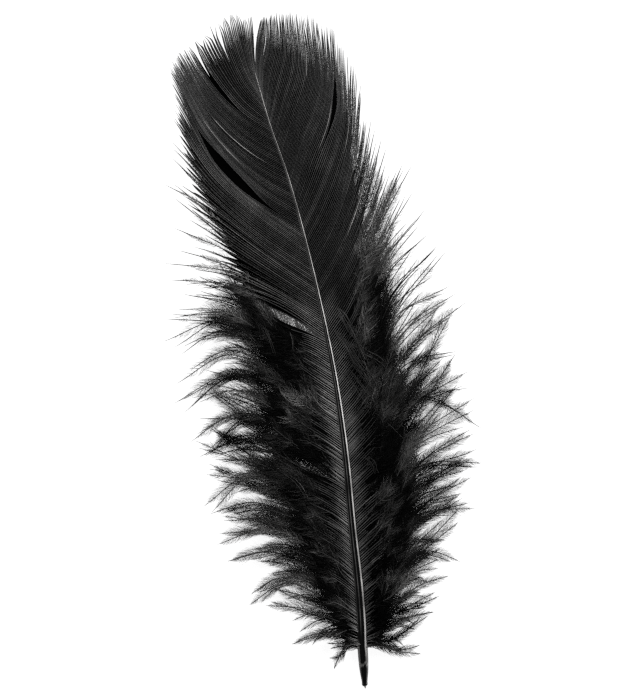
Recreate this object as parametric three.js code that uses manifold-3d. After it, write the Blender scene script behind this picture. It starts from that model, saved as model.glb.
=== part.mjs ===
// A black body feather of a large fowl, lying on a table with its hollow side down.
// Millimetres, +Z up. The quill is at -Y and the tip at +Y. The origin is the middle of the
// feather's box, on the table. Every shape is first laid out in the feather's own plan, whose
// zero is the quill's end and whose +Y runs to the tip, and is then moved to the origin.
//
// The feather is one solid: a tapering arched shaft, and locks of barbs that leave it on both
// sides. Locks of the upper half are broad and overlap, so that they fuse into the closed vane.
// Locks of the lower half are tufts of down, which overlap only near the shaft.

import * as THREE from "three";
import { mergeVertices } from "three/addons/utils/BufferGeometryUtils.js";
import Module from "manifold-3d";

const wasm = await Module();
wasm.setup();

// Plan position of the origin.
const PLAN_CENTRE_X = 1.9;
const PLAN_CENTRE_Y = 60.15;

// The shaft, from the quill's end to where it fades out under the tip.
const SHAFT_HEIGHT_SHARE = 0.85; // height of its section over its width
const SHAFT_SIDES = 8;
const SHAFT_STEPS = 30;
// [x, y, height of the centre above the table, width]
const SHAFT = [
  [0.0, 0.1, 0.3, 0.5],
  [0.05, 0.9, 0.45, 1.05],
  [0.55, 5.0, 0.95, 1.75],
  [1.3, 11.0, 1.75, 1.8],
  [1.9, 16.6, 2.5, 1.75],
  [2.75, 29.0, 3.9, 1.5],
  [3.7, 41.0, 4.9, 1.35],
  [4.2, 56.0, 5.4, 1.05],
  [3.85, 69.0, 5.1, 0.8],
  [3.2, 80.0, 4.3, 0.62],
  [2.1, 91.5, 3.1, 0.5],
  [0.6, 101.0, 1.9, 0.4],
  [-0.35, 110.0, 0.9, 0.3],
];

// The band of closely set barb roots on both sides of the shaft: [share of the shaft's stations,
// width of the band].
const BAND_THICKNESS = 0.6;
const BAND_STEPS = 16;
const BAND = [
  [0.2, 1.6],
  [0.3, 4.0],
  [0.45, 6.4],
  [0.6, 7.0],
  [0.75, 6.0],
  [0.9, 3.4],
  [0.98, 1.0],
];

// Locks of the closed vane. Each row gives the height up the shaft where the lock leaves it, and
// then x, y of two points on its way and of its tip.
const VANE_LEFT = [
  [108.0, -0.6, 112.2, -0.3, 116.0, 0.4, 119.6],
  [106.2, -1.4, 111.2, -2.0, 115.8, -2.1, 120.4],
  [104.0, -2.4, 109.4, -4.0, 115.2, -4.5, 119.7],
  [101.6, -3.3, 106.7, -6.3, 113.0, -7.6, 117.7],
  [99.4, -4.0, 104.2, -8.0, 111.0, -9.9, 116.7],
  [97.2, -4.0, 101.9, -8.6, 108.9, -11.2, 115.9],
  [94.6, -3.8, 99.3, -8.8, 106.3, -12.2, 115.0],
  [92.0, -3.5, 96.8, -8.8, 103.9, -12.9, 114.4],
  [89.2, -3.4, 94.1, -9.0, 101.8, -13.5, 113.6],
  [86.2, -3.3, 91.5, -9.2, 99.9, -14.0, 112.9],
  [83.2, -3.2, 88.8, -9.4, 97.8, -14.4, 111.8],
  [80.2, -3.3, 86.4, -9.9, 95.2, -14.8, 108.4],
  [77.3, -3.4, 84.4, -10.3, 92.8, -15.6, 103.8],
  [74.4, -3.5, 81.5, -10.4, 89.8, -16.6, 99.6],
  [71.4, -3.4, 78.4, -10.4, 86.2, -18.4, 94.8],
  [68.4, -3.2, 75.2, -10.4, 82.2, -19.4, 90.4],
  [65.6, -3.4, 72.4, -10.8, 78.4, -20.8, 83.8],
  [62.8, -3.7, 69.6, -11.6, 74.6, -23.1, 76.3],
];
const VANE_RIGHT = [
  [108.0, 0.5, 112.2, 1.4, 115.8, 2.3, 118.9],
  [106.2, 1.1, 111.2, 2.6, 115.3, 3.4, 119.2],
  [104.0, 1.8, 109.6, 3.7, 114.6, 4.5, 119.3],
  [101.8, 2.5, 107.5, 4.8, 113.1, 5.6, 119.2],
  [99.2, 3.3, 104.8, 6.1, 111.4, 7.0, 118.9],
  [96.6, 4.0, 102.2, 7.4, 109.2, 8.4, 118.4],
  [93.8, 4.7, 99.7, 8.7, 107.2, 9.8, 117.9],
  [91.0, 5.4, 97.3, 9.9, 105.3, 11.2, 117.3],
  [88.2, 5.9, 95.0, 10.8, 103.4, 12.6, 116.3],
  [85.4, 6.6, 92.4, 11.7, 101.4, 13.9, 115.0],
  [82.6, 7.3, 89.1, 12.5, 99.2, 14.9, 113.0],
  [79.8, 7.8, 86.1, 13.3, 96.8, 15.8, 110.4],
  [77.0, 8.1, 82.9, 13.8, 93.9, 16.8, 106.7],
  [74.2, 8.3, 80.0, 14.0, 90.6, 18.0, 102.3],
  [71.4, 8.5, 77.1, 14.3, 87.1, 19.2, 98.6],
  [68.6, 8.8, 74.4, 14.5, 83.5, 20.4, 95.8],
  [65.6, 9.0, 71.4, 14.7, 79.9, 21.8, 91.6],
  [62.8, 9.3, 68.5, 14.9, 76.8, 23.4, 87.4],
];

// Tufts of down, in the same terms. Their barbs run steeply beside the shaft and then fan out.
const DOWN_LEFT = [
  [60.2, -4.5, 66.4, -9.0, 71.6, -16.0, 76.6],
  [57.8, -5.0, 64.6, -9.0, 70.6, -17.2, 73.6],
  [55.0, -5.2, 62.6, -11.8, 69.4, -23.8, 71.1],
  [52.2, -5.2, 60.6, -12.2, 67.6, -24.0, 67.2],
  [49.8, -5.0, 58.6, -12.4, 65.8, -24.6, 63.3],
  [47.2, -4.8, 55.8, -12.6, 62.2, -24.1, 59.8],
  [44.8, -4.6, 53.4, -11.8, 58.6, -24.1, 55.9],
  [42.2, -4.8, 50.6, -12.6, 56.6, -23.7, 53.3],
  [39.6, -4.8, 46.8, -13.0, 51.8, -23.5, 48.4],
  [37.2, -4.6, 43.4, -12.6, 47.8, -23.7, 43.8],
  [34.4, -4.4, 39.8, -11.0, 45.0, -18.7, 45.6],
  [32.0, -5.0, 38.0, -12.4, 42.8, -21.4, 44.6],
  [29.6, -5.2, 36.2, -12.6, 41.2, -23.2, 42.9],
  [26.8, -5.2, 33.8, -12.6, 39.0, -22.7, 36.4],
  [23.8, -5.0, 30.6, -12.6, 35.6, -23.2, 35.2],
  [20.8, -4.8, 27.8, -11.4, 31.4, -20.4, 31.0],
  [17.8, -4.5, 24.4, -11.8, 28.2, -21.0, 26.9],
  [15.2, -4.2, 20.8, -9.8, 23.8, -18.5, 19.9],
  [12.6, -3.9, 18.0, -10.6, 20.6, -17.2, 18.3],
  [10.6, -3.3, 14.4, -8.4, 17.0, -14.2, 17.6],
  [9.0, -2.6, 10.6, -6.2, 11.6, -11.0, 9.8],
  [7.8, -1.6, 8.4, -3.4, 7.2, -5.6, 4.9],
];
const DOWN_RIGHT = [
  [60.0, 9.5, 65.6, 15.0, 73.8, 24.5, 83.6],
  [57.4, 9.7, 63.0, 15.2, 71.2, 25.5, 79.2],
  [54.6, 9.9, 60.2, 15.4, 68.4, 26.5, 75.4],
  [51.8, 10.0, 57.2, 15.8, 65.8, 26.8, 73.2],
  [48.8, 10.0, 54.4, 16.2, 63.6, 27.5, 67.1],
  [45.8, 10.0, 51.0, 15.8, 60.0, 28.3, 65.1],
  [43.0, 10.0, 48.0, 17.4, 57.0, 28.4, 62.1],
  [40.2, 9.9, 45.2, 16.0, 53.6, 28.3, 56.4],
  [37.4, 9.8, 42.2, 16.2, 47.8, 28.2, 51.1],
  [34.6, 9.8, 39.4, 15.8, 46.0, 27.0, 51.6],
  [31.8, 9.6, 36.6, 15.6, 42.8, 28.2, 46.4],
  [29.0, 9.5, 33.8, 16.4, 39.2, 28.4, 42.3],
  [26.2, 9.4, 31.2, 16.0, 36.8, 27.0, 36.4],
  [23.4, 9.2, 28.2, 15.2, 32.6, 25.2, 33.5],
  [20.8, 9.0, 25.4, 14.8, 30.0, 25.3, 28.8],
  [18.2, 8.8, 22.6, 14.2, 26.8, 22.2, 27.4],
  [15.8, 8.2, 19.8, 13.0, 22.6, 21.3, 18.2],
  [13.6, 7.8, 17.2, 12.2, 20.4, 17.8, 18.0],
  [11.6, 7.0, 14.6, 12.0, 16.4, 16.8, 15.1],
  [10.0, 5.9, 12.0, 10.2, 12.8, 14.5, 11.9],
  [8.6, 4.8, 9.0, 8.2, 9.2, 12.0, 10.6],
  [7.4, 3.7, 7.1, 6.5, 6.0, 10.9, 4.8],
];

// How a kind of lock is shaped. Its blade is `width` across and `thickness` deep, and stays broad
// until `shoulder` of its length, from where it narrows to its tip. `sag` is the power of the
// share of the length with which it comes down from the shaft: below 1 it drops at once and then
// lies along the table, above 1 it stays up and drops near its end. Its tip is at one of
// `tipHeights`, and its middle bulges up by one of `puffs`, in turn from lock to lock. `steps` is
// how many straight stretches it has.
const VANE_LOCK = {
  steps: 6,
  rootWidth: 3.2,
  width: 3.3,
  thickness: 0.85,
  shoulder: 0.72,
  sag: 1.5,
  tipHeights: [0.3],
  puffs: [0.4],
};
const TIP_LOCK = { ...VANE_LOCK, rootWidth: 2.0, width: 2.6, sag: 0.45, tipHeights: [0] };
const DOWN_LOCK = {
  steps: 7,
  rootWidth: 3.0,
  width: 5.0,
  thickness: 1.1,
  shoulder: 0.4,
  sag: 1.2,
  tipHeights: [1.6, 0.15, 2.6, 0.6],
  puffs: [1.6, 0.3, 3.1, 0.9],
};
const TIP_LOCKS = 5; // how many locks a side lie along the table at the feather's tip
const OPEN_SHARE = 0.35; // share of its length over which a lock opens to its full width
const TIP_WIDTH_SHARE = 0.1;
const ROOT_THICKNESS_SHARE = 0.45;
const TIP_THICKNESS_SHARE = 0.45;

// A closed mesh from rings of equal length, with both ends fanned to the ring's middle.
function skin(rings) {
  const sides = rings[0].length;
  const points = rings.flat();
  const index = [];
  for (let ring = 0; ring + 1 < rings.length; ring++) {
    for (let side = 0; side < sides; side++) {
      const here = ring * sides + side;
      const beside = ring * sides + ((side + 1) % sides);
      index.push(here, beside, beside + sides, here, beside + sides, here + sides);
    }
  }
  const last = (rings.length - 1) * sides;
  for (let side = 1; side + 1 < sides; side++) {
    index.push(0, side + 1, side);
    index.push(last, last + side, last + side + 1);
  }
  const geometry = new THREE.BufferGeometry().setFromPoints(points);
  geometry.setIndex(index);
  return geometry;
}

// The section of a blade or shaft: points round an ellipse across the way it runs. `across` is
// level, so a blade lies flat however its way turns.
function ring(centre, along, width, height, sides) {
  const across = new THREE.Vector3(-along.y, along.x, 0).normalize();
  return Array.from({ length: sides }, (_, side) => {
    const angle = (2 * Math.PI * side) / sides;
    return centre
      .clone()
      .addScaledVector(across, (width / 2) * Math.cos(angle))
      .add(new THREE.Vector3(0, 0, (height / 2) * Math.sin(angle)));
  });
}

const shaftLine = new THREE.CatmullRomCurve3(
  SHAFT.map(([x, y, z]) => new THREE.Vector3(x, y, z)),
  false,
  "centripetal",
);

// The shaft's width at a share of the way along its stations.
function shaftWidth(share) {
  const place = share * (SHAFT.length - 1);
  const before = Math.min(Math.floor(place), SHAFT.length - 2);
  return THREE.MathUtils.lerp(SHAFT[before][3], SHAFT[before + 1][3], place - before);
}

// The point of the shaft's centre line at a height up the plan, found by halving.
function shaftAt(y) {
  let low = 0;
  let high = 1;
  for (let halving = 0; halving < 30; halving++) {
    const middle = (low + high) / 2;
    if (shaftLine.getPoint(middle).y < y) low = middle;
    else high = middle;
  }
  return shaftLine.getPoint(low);
}

function shaft() {
  const rings = [];
  for (let step = 0; step <= SHAFT_STEPS; step++) {
    const share = step / SHAFT_STEPS;
    const width = shaftWidth(share);
    const along = shaftLine.getTangent(share);
    const height = width * SHAFT_HEIGHT_SHARE;
    rings.push(ring(shaftLine.getPoint(share), along, width, height, SHAFT_SIDES));
  }
  return skin(rings);
}

// A value read from rows of [share, value], straight between them.
function readRows(rows, share) {
  const after = Math.max(1, rows.findIndex(([rowShare]) => rowShare >= share));
  const [lowShare, low] = rows[after - 1];
  const [highShare, high] = rows[after];
  return THREE.MathUtils.mapLinear(share, lowShare, highShare, low, high);
}

function band() {
  const start = BAND[0][0];
  const end = BAND.at(-1)[0];
  const rings = [];
  for (let step = 0; step <= BAND_STEPS; step++) {
    const share = THREE.MathUtils.lerp(start, end, step / BAND_STEPS);
    const width = readRows(BAND, share);
    const along = shaftLine.getTangent(share);
    rings.push(ring(shaftLine.getPoint(share), along, width, BAND_THICKNESS, 4));
  }
  return skin(rings);
}

// One lock: a flat blade along a curve from the shaft's centre line to its tip.
function lock([rootY, x1, y1, x2, y2, tipX, tipY], shape, turn) {
  const root = shaftAt(rootY);
  const plan = new THREE.CatmullRomCurve3(
    [
      new THREE.Vector3(root.x, root.y, 0),
      new THREE.Vector3(x1, y1, 0),
      new THREE.Vector3(x2, y2, 0),
      new THREE.Vector3(tipX, tipY, 0),
    ],
    false,
    "centripetal",
  );
  const tipHeight = shape.tipHeights[turn % shape.tipHeights.length];
  const puff = shape.puffs[turn % shape.puffs.length];
  const rings = [];
  for (let step = 0; step <= shape.steps; step++) {
    const share = step / shape.steps;
    const point = plan.getPoint(share);
    const fall = share ** shape.sag;
    point.z = THREE.MathUtils.lerp(root.z, tipHeight, fall) + puff * Math.sin(Math.PI * share);
    const opened = Math.min(share / OPEN_SHARE, 1);
    const left = 1 - Math.max(share - shape.shoulder, 0) / (1 - shape.shoulder);
    const broad = THREE.MathUtils.lerp(shape.rootWidth, shape.width, opened);
    const width = broad * THREE.MathUtils.lerp(TIP_WIDTH_SHARE, 1, left);
    const deep = THREE.MathUtils.lerp(ROOT_THICKNESS_SHARE, 1, opened);
    const height = shape.thickness * deep * THREE.MathUtils.lerp(TIP_THICKNESS_SHARE, 1, left);
    rings.push(ring(point, plan.getTangent(share), width, height, 4));
  }
  return skin(rings);
}

// The half space above the table, which trims the locks that lie on it to flat faces.
function aboveTable() {
  const size = 400;
  return new THREE.BoxGeometry(size, size, size).translate(0, 0, size / 2);
}

function toSolid(geometry) {
  geometry.deleteAttribute("normal");
  geometry.deleteAttribute("uv");
  const merged = mergeVertices(geometry);
  return new wasm.Manifold(
    new wasm.Mesh({
      numProp: 3,
      vertProperties: merged.attributes.position.array,
      triVerts: new Uint32Array(merged.index.array),
    }),
  );
}

function toGeometry(solid) {
  const mesh = solid.getMesh();
  const geometry = new THREE.BufferGeometry();
  geometry.setAttribute("position", new THREE.BufferAttribute(mesh.vertProperties, 3));
  geometry.setIndex(new THREE.BufferAttribute(mesh.triVerts, 1));
  geometry.computeVertexNormals();
  return geometry;
}

function featherGeometry() {
  const vaneLocks = [VANE_LEFT, VANE_RIGHT].flatMap((rows) =>
    rows.map((row, turn) => lock(row, turn < TIP_LOCKS ? TIP_LOCK : VANE_LOCK, turn)),
  );
  const downLocks = [DOWN_LEFT, DOWN_RIGHT].flatMap((rows) =>
    rows.map((row, turn) => lock(row, DOWN_LOCK, turn)),
  );
  const pieces = [band(), ...vaneLocks, ...downLocks].map(toSolid);
  const fused = pieces.reduce((whole, piece) => whole.add(piece), toSolid(shaft()));
  return toGeometry(fused.intersect(toSolid(aboveTable())));
}

const blackKeratin = new THREE.MeshStandardMaterial({
  color: 0x17161a,
  roughness: 0.5,
  metalness: 0,
});

const feather = new THREE.Mesh(featherGeometry(), blackKeratin);
feather.name = "feather";
feather.position.set(-PLAN_CENTRE_X, -PLAN_CENTRE_Y, 0);

const group = new THREE.Group();
group.add(feather);

export default group;
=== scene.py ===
"""Looks of a black body feather that lies on a pale floor, seen from straight above.

The feather is drawn in its own plan, in millimetres: the quill's end is at (0, 0) and the tip is up
the plan's y. Every barb is a curve in that plan with a height, and all barbs of a side are worked
out together as one array of shape (barbs, steps, 3). Barb tubes, the web between barbs of the
closed vane, and the barbules are then laid along those curves, moved to the frame and scaled to
metres.
"""

import math

import bpy
import numpy as np
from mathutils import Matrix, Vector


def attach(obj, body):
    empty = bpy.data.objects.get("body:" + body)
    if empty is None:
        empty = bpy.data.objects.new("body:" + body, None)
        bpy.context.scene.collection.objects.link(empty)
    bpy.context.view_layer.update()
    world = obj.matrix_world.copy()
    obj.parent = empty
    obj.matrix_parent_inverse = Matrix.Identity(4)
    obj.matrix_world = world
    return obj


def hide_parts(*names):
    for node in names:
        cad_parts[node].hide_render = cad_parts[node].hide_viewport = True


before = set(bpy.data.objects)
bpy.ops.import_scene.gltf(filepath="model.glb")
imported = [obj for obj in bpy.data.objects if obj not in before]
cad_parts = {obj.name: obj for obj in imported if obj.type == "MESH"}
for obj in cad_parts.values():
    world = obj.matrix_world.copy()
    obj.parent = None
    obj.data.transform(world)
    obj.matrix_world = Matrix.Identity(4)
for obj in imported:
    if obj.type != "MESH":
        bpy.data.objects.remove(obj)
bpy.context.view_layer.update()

MM = 0.001
PLAN_CENTRE = np.array([1.9, 60.15, 0.0])  # where the frame's origin is in the plan
TABLE_CLEARANCE = 0.02  # lowest point of a barb above the floor
random = np.random.default_rng(7)

# The shaft: x, y, height of its centre, width.
SHAFT = np.array([
    [0, 0.02, 0.3, 0.2],
    [0, 0.4, 0.36, 0.4],
    [0.01, 0.62, 0.42, 0.9],
    [0.07, 1.2, 0.5, 1],
    [0.28, 3, 0.7, 1.48],
    [0.5, 5, 0.95, 1.74],
    [0.78, 7.5, 1.25, 1.8],
    [1.3, 11, 1.75, 1.82],
    [1.9, 16.6, 2.5, 1.75],
    [2.75, 29, 3.9, 1.5],
    [3.7, 41, 4.9, 1.35],
    [4.2, 56, 5.4, 1.05],
    [3.85, 69, 5.1, 0.8],
    [3.2, 80, 4.3, 0.62],
    [2.1, 91.5, 3.1, 0.5],
    [0.6, 101, 1.9, 0.4],
    [-0.35, 110, 0.9, 0.3],
])

# Guiding barbs of each side, from the quill to the tip: the height up the shaft where the barb
# leaves it, and then x, y of two points on its way and of its tip.
LEFT = np.array([
    [7.2, -1.2, 7.9, -3.2, 8.2, -5.6, 8.2], [9.5, -1.8, 11.5, -5.2, 13, -9.5, 12.4],
    [12, -2.8, 16, -7.2, 19, -12.6, 18.6], [15, -3.6, 20.4, -8.6, 24.6, -14.8, 25],
    [19, -4.2, 25.6, -10, 30.2, -17.4, 31.4], [23, -4.8, 30.4, -11.4, 35.2, -19.2, 37.2],
    [27, -5.2, 34.6, -12, 39.8, -19.8, 42.4], [31, -5, 38.4, -12, 44, -19.4, 47.2],
    [36, -4.6, 43.2, -12, 49.2, -18.8, 52.6], [41, -4.8, 48.8, -12, 54.8, -18.4, 57.8],
    [46, -5, 54.6, -12, 60.2, -18.6, 62.8], [51, -5.2, 60, -12, 65.6, -19.4, 67.8],
    [55.5, -5.1, 63.8, -11.4, 69, -19.6, 71.6], [58.6, -4.8, 65.2, -9.4, 70.6, -17.2, 73.5],
    [60.4, -4.4, 66.4, -9, 71.6, -16, 76.8], [62.2, -3.8, 69.2, -11.6, 74, -23.1, 76.3],
    [64.2, -3.5, 71.2, -11.2, 76.8, -21.5, 81.9], [66, -3.4, 72.8, -10.8, 78.8, -20.5, 84.1],
    [67.8, -3.2, 74.4, -10.4, 81.2, -19.6, 89.7], [69.6, -3.2, 76.4, -10.4, 83.8, -18, 92.6],
    [71.6, -3.4, 78.6, -10.4, 86.4, -18.4, 94.8], [73.6, -3.5, 80.6, -10.4, 88.8, -16.8, 98.4],
    [75.5, -3.4, 82.6, -10.4, 90.9, -16.2, 101], [77.3, -3.4, 84.4, -10.3, 92.8, -15.6, 103.8],
    [79.4, -3.3, 86, -10, 94.8, -14.9, 107.4], [81.6, -3.1, 87.4, -9.6, 96.6, -14.6, 110.6],
    [83.8, -3.2, 89.4, -9.4, 98.2, -14.3, 112.2], [86, -3.3, 91.4, -9.2, 99.8, -14, 112.9],
    [88.6, -3.4, 93.6, -9, 101.4, -13.5, 113.6], [91.4, -3.5, 96.2, -8.8, 103.3, -12.9, 114.4],
    [93.6, -3.7, 98.3, -8.8, 105.2, -12.3, 114.9], [95.6, -3.9, 100.3, -8.7, 107.3, -11.7, 115.5],
    [97.4, -4, 102.1, -8.6, 109.1, -11.2, 115.9], [99, -4.1, 103.8, -8.2, 110.6, -10.3, 116.5],
    [100.6, -3.7, 105.5, -7.1, 112, -8.8, 117.1], [102, -3.2, 107.2, -5.7, 113.8, -6.9, 118.6],
    [103.4, -2.6, 108.8, -4.3, 115.2, -5, 120], [104.8, -2, 110.2, -3.1, 115.9, -3.6, 120.7],
    [106, -1.4, 111, -2, 116, -2.2, 120.8], [107.2, -0.8, 111.6, -0.9, 115.8, -0.8, 119.7],
    [108.4, -0.1, 112.2, 0.3, 116, 0.7, 119.6],
])
RIGHT = np.array([
    [7.2, 3.4, 7.4, 5.2, 7, 7.6, 6], [8.6, 4.2, 9.4, 7.2, 10.2, 10.2, 9.6],
    [10.2, 5.2, 12.2, 9.2, 13.8, 13.8, 13.4], [12.5, 6.6, 16, 11.4, 18.8, 16.6, 18.6],
    [15.5, 7.8, 19.6, 12.6, 24, 18.6, 24.4], [19, 8.8, 23.4, 13.4, 28.8, 20.8, 30.2],
    [23, 9.4, 27.6, 14.2, 33.6, 22.6, 36.4], [27, 9.8, 31.8, 14.8, 38.6, 23.4, 42.6],
    [31, 10, 36, 15, 43.6, 24, 48.6], [36, 10.2, 41.2, 15.2, 49.4, 24.4, 55.4],
    [41, 10.2, 46.4, 15.2, 55, 24, 62], [46, 10.2, 51.6, 15.2, 60.6, 23.8, 68],
    [51, 10.2, 56.8, 15.2, 65.8, 23.8, 73.8], [55, 10, 60.8, 15.2, 69.6, 23.6, 78.2],
    [58.6, 9.6, 64.2, 15.1, 72.6, 25, 81.5], [61.2, 9.4, 66.8, 15, 75.2, 23.9, 86.2],
    [63.8, 9.2, 69.6, 14.8, 77.8, 22.4, 89.8], [66.2, 9, 72, 14.6, 80.6, 21.4, 92.8],
    [68.4, 8.8, 74.2, 14.5, 83.3, 20.4, 95.8], [70.5, 8.6, 76.2, 14.4, 86, 19.6, 97.6],
    [72.6, 8.5, 78.4, 14.2, 88.6, 18.7, 100.4], [74.6, 8.3, 80.4, 14, 91, 17.8, 102.8],
    [76.6, 8.2, 82.4, 13.8, 93.4, 17, 106], [78.5, 8, 84.6, 13.6, 95.5, 16.2, 109],
    [80.4, 7.7, 86.8, 13.1, 97.4, 15.6, 111], [82.3, 7.4, 88.8, 12.6, 99, 15, 112.8],
    [84.2, 6.9, 91, 12.1, 100.6, 14.3, 114.3], [86, 6.4, 93, 11.5, 101.8, 13.6, 115.4],
    [88.2, 5.9, 95, 10.8, 103.4, 12.6, 116.3], [90.4, 5.5, 96.8, 10.1, 104.9, 11.5, 117.1],
    [92.5, 5, 98.6, 9.3, 106.3, 10.5, 117.6], [94.5, 4.6, 100.2, 8.4, 107.6, 9.5, 118],
    [96.6, 4, 102.2, 7.4, 109.2, 8.4, 118.4], [98.6, 3.5, 104.2, 6.4, 110.8, 7.3, 118.8],
    [100.5, 2.9, 106.2, 5.4, 112.2, 6.3, 119.1], [102.3, 2.3, 108, 4.5, 113.4, 5.3, 119.3],
    [104, 1.7, 109.6, 3.6, 114.6, 4.4, 119.3], [105.6, 1.1, 110.8, 2.8, 115.2, 3.5, 119.1],
    [107, 0.7, 111.5, 1.9, 115.5, 2.9, 119.2], [108.4, 0.15, 112, 1.1, 116, 2.2, 118.9],
])

# Single barbs of the down that reach past the rest, in the same columns.
LEFT_BARBS = np.array([
    [8, -1.6, 8.4, -3.4, 7, -5.6, 4.9], [9, -2.8, 10.4, -6.4, 11.2, -11, 9.6],
    [9.9, -3, 13, -8, 15.8, -14.2, 17.6], [10.9, -3.4, 15, -8.8, 17.8, -13.7, 20],
    [12, -3.8, 17.2, -10.6, 20.6, -17.2, 18.2], [13.2, -4, 18.8, -11.4, 22.8, -18.5, 19.8],
    [14.4, -4.2, 20.2, -9.4, 23.4, -15.5, 26.1], [16.2, -4.4, 22.4, -12.2, 26.6, -21, 26.9],
    [18.8, -4.6, 25.8, -11.6, 30.6, -20.5, 31], [20.6, -4.8, 27.6, -11.4, 31.4, -20, 35.4],
    [23.4, -5, 30.4, -12.6, 35.6, -23.2, 35.2], [25.4, -5, 32.4, -12.7, 39, -19.1, 44.4],
    [26.8, -5.2, 33.8, -12.4, 39.6, -23.2, 42.9], [28.6, -5.4, 35.4, -13, 40.6, -22.7, 36.4],
    [30.2, -5.2, 36.8, -13.2, 43.4, -23.4, 48.3], [32.2, -4.6, 38, -12, 44, -20.6, 51],
    [34.4, -4.4, 39.6, -11, 45, -18.7, 44.7], [36, -4.3, 42, -11.7, 50.2, -21, 59.9],
    [37.2, -4.6, 43.4, -12.6, 47.6, -23.7, 43.8], [38.6, -4.8, 45.4, -12.4, 50.2, -21.2, 46],
    [40, -4.8, 47.2, -13, 51.8, -23.5, 48.4], [41.6, -4.8, 49.4, -12.6, 55.4, -22.2, 55.1],
    [43.4, -4.7, 52, -12.6, 58, -23.7, 53.2], [45.2, -4.6, 53.6, -11.8, 58.6, -24.1, 55.9],
    [47.6, -4.8, 56.2, -12.6, 62.4, -24.1, 59.8], [49.8, -5, 58.6, -12.4, 65.8, -24.6, 63.3],
    [51.6, -5.2, 60.4, -12.2, 68.2, -24.1, 66.4], [53.2, -5.2, 61, -12.2, 66.8, -23.4, 70],
    [55, -5.2, 62.6, -11.8, 69.4, -23.8, 71.1], [56.8, -5.2, 64.4, -8.6, 70.6, -10.6, 76.8],
])
RIGHT_BARBS = np.array([
    [7.4, 3.7, 7.1, 6.5, 6, 10.9, 4.8], [8, 4.8, 8, 8, 8.6, 12, 10.5],
    [8.8, 4.8, 9.8, 9.2, 11.4, 14.6, 11.9], [9.6, 5.6, 11.5, 10.5, 13.3, 16.9, 15],
    [10.6, 6.6, 13, 12, 16, 17.9, 18], [12, 7.4, 16.2, 13.8, 21.6, 21.4, 18.1],
    [12.4, 7, 15.6, 11.8, 18.8, 17.4, 20.4], [13.2, 7.8, 17.2, 12.2, 22.4, 18.7, 26.2],
    [14, 7.6, 17.4, 12.8, 20.6, 19, 22.6], [14.8, 8, 18.6, 13.2, 22.4, 22.2, 27.5],
    [17.2, 8.6, 21.8, 14.5, 26.6, 24.2, 32], [18.8, 8.8, 23.2, 14.6, 28.2, 25.2, 28.7],
    [20.4, 9, 25, 15, 30.2, 25, 33.7], [22.4, 9.2, 27.2, 15, 32.4, 26.2, 38],
    [25.8, 9.4, 30.8, 16, 36.8, 27.1, 36.3], [27.4, 9.4, 32.4, 17, 38.4, 28.3, 42.2],
    [28.8, 9.4, 33.8, 15.2, 40.8, 28.2, 46.4], [30.2, 9.4, 35, 16, 43, 27, 51.5],
    [32.4, 9.6, 37.2, 17, 46.4, 28.2, 56.5], [34.6, 9.8, 39.6, 17.2, 50.6, 25.7, 62],
    [36.6, 9.8, 41.4, 15.5, 46.8, 28.2, 51.1], [38.4, 9.9, 43, 17.5, 49, 28, 42.5],
    [41, 9.8, 46, 15.5, 54.2, 28.3, 56.4], [43.2, 10, 48.2, 18, 57.4, 28.4, 62.1],
    [45.4, 10, 50.6, 15.8, 60, 28.3, 65.1], [48, 10, 53.6, 16.2, 63.6, 27.5, 67.1],
    [50.4, 10, 55.8, 16.4, 64.6, 26.8, 73.2], [53.2, 10, 58.8, 15.4, 67.2, 26.6, 74.3],
    [56, 9.8, 61.6, 15.3, 70, 25.9, 77.2],
])

# Steep strands that gather many barbs along the vane side of the down, in the same columns.
LEFT_STRANDS = np.array([
    [10.5, -2.2, 18.4, -4.4, 28.6, -6.2, 36.6], [14, -2.8, 22, -4.8, 31.6, -8.9, 43.1],
    [18, -2.6, 26, -5.4, 34.2, -11.6, 45.6], [35.8, -1.2, 41.6, -5.4, 47.6, -9.6, 53.6],
    [36.8, -1.2, 43, -6.2, 49.6, -12.2, 55.6], [38, -1, 44.2, -6.8, 51, -14.4, 57],
    [45, -1.6, 53.2, -6, 63, -9, 74], [47.4, -2, 55.4, -6.8, 65.2, -10.4, 77],
    [50.2, -2.4, 57.6, -7.6, 66.8, -13, 75.6],
])
RIGHT_STRANDS = np.array([
    [9.4, 4.6, 14.6, 9.6, 22.6, 12.6, 30.6], [12.6, 6, 17.2, 11, 26.4, 14.6, 36.4],
    [19.6, 8, 24.2, 12.4, 32.6, 15, 42.4], [24, 8.6, 28.6, 13.4, 37, 15, 47.6],
    [32, 9.6, 36.8, 14, 45.6, 14.8, 56.4], [36.2, 9.8, 41.2, 14, 50.4, 14.4, 61],
    [42, 10, 47.4, 13.8, 57, 14.6, 67.6], [46, 10, 51.8, 13.8, 60.8, 15.6, 71.6],
    [50, 10, 56, 14, 65.6, 16.8, 76],
])
STRAND_BARBS = 5  # barbs laid along each strand
SINGLE_BARBS = 2  # and along each single barb's row

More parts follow.
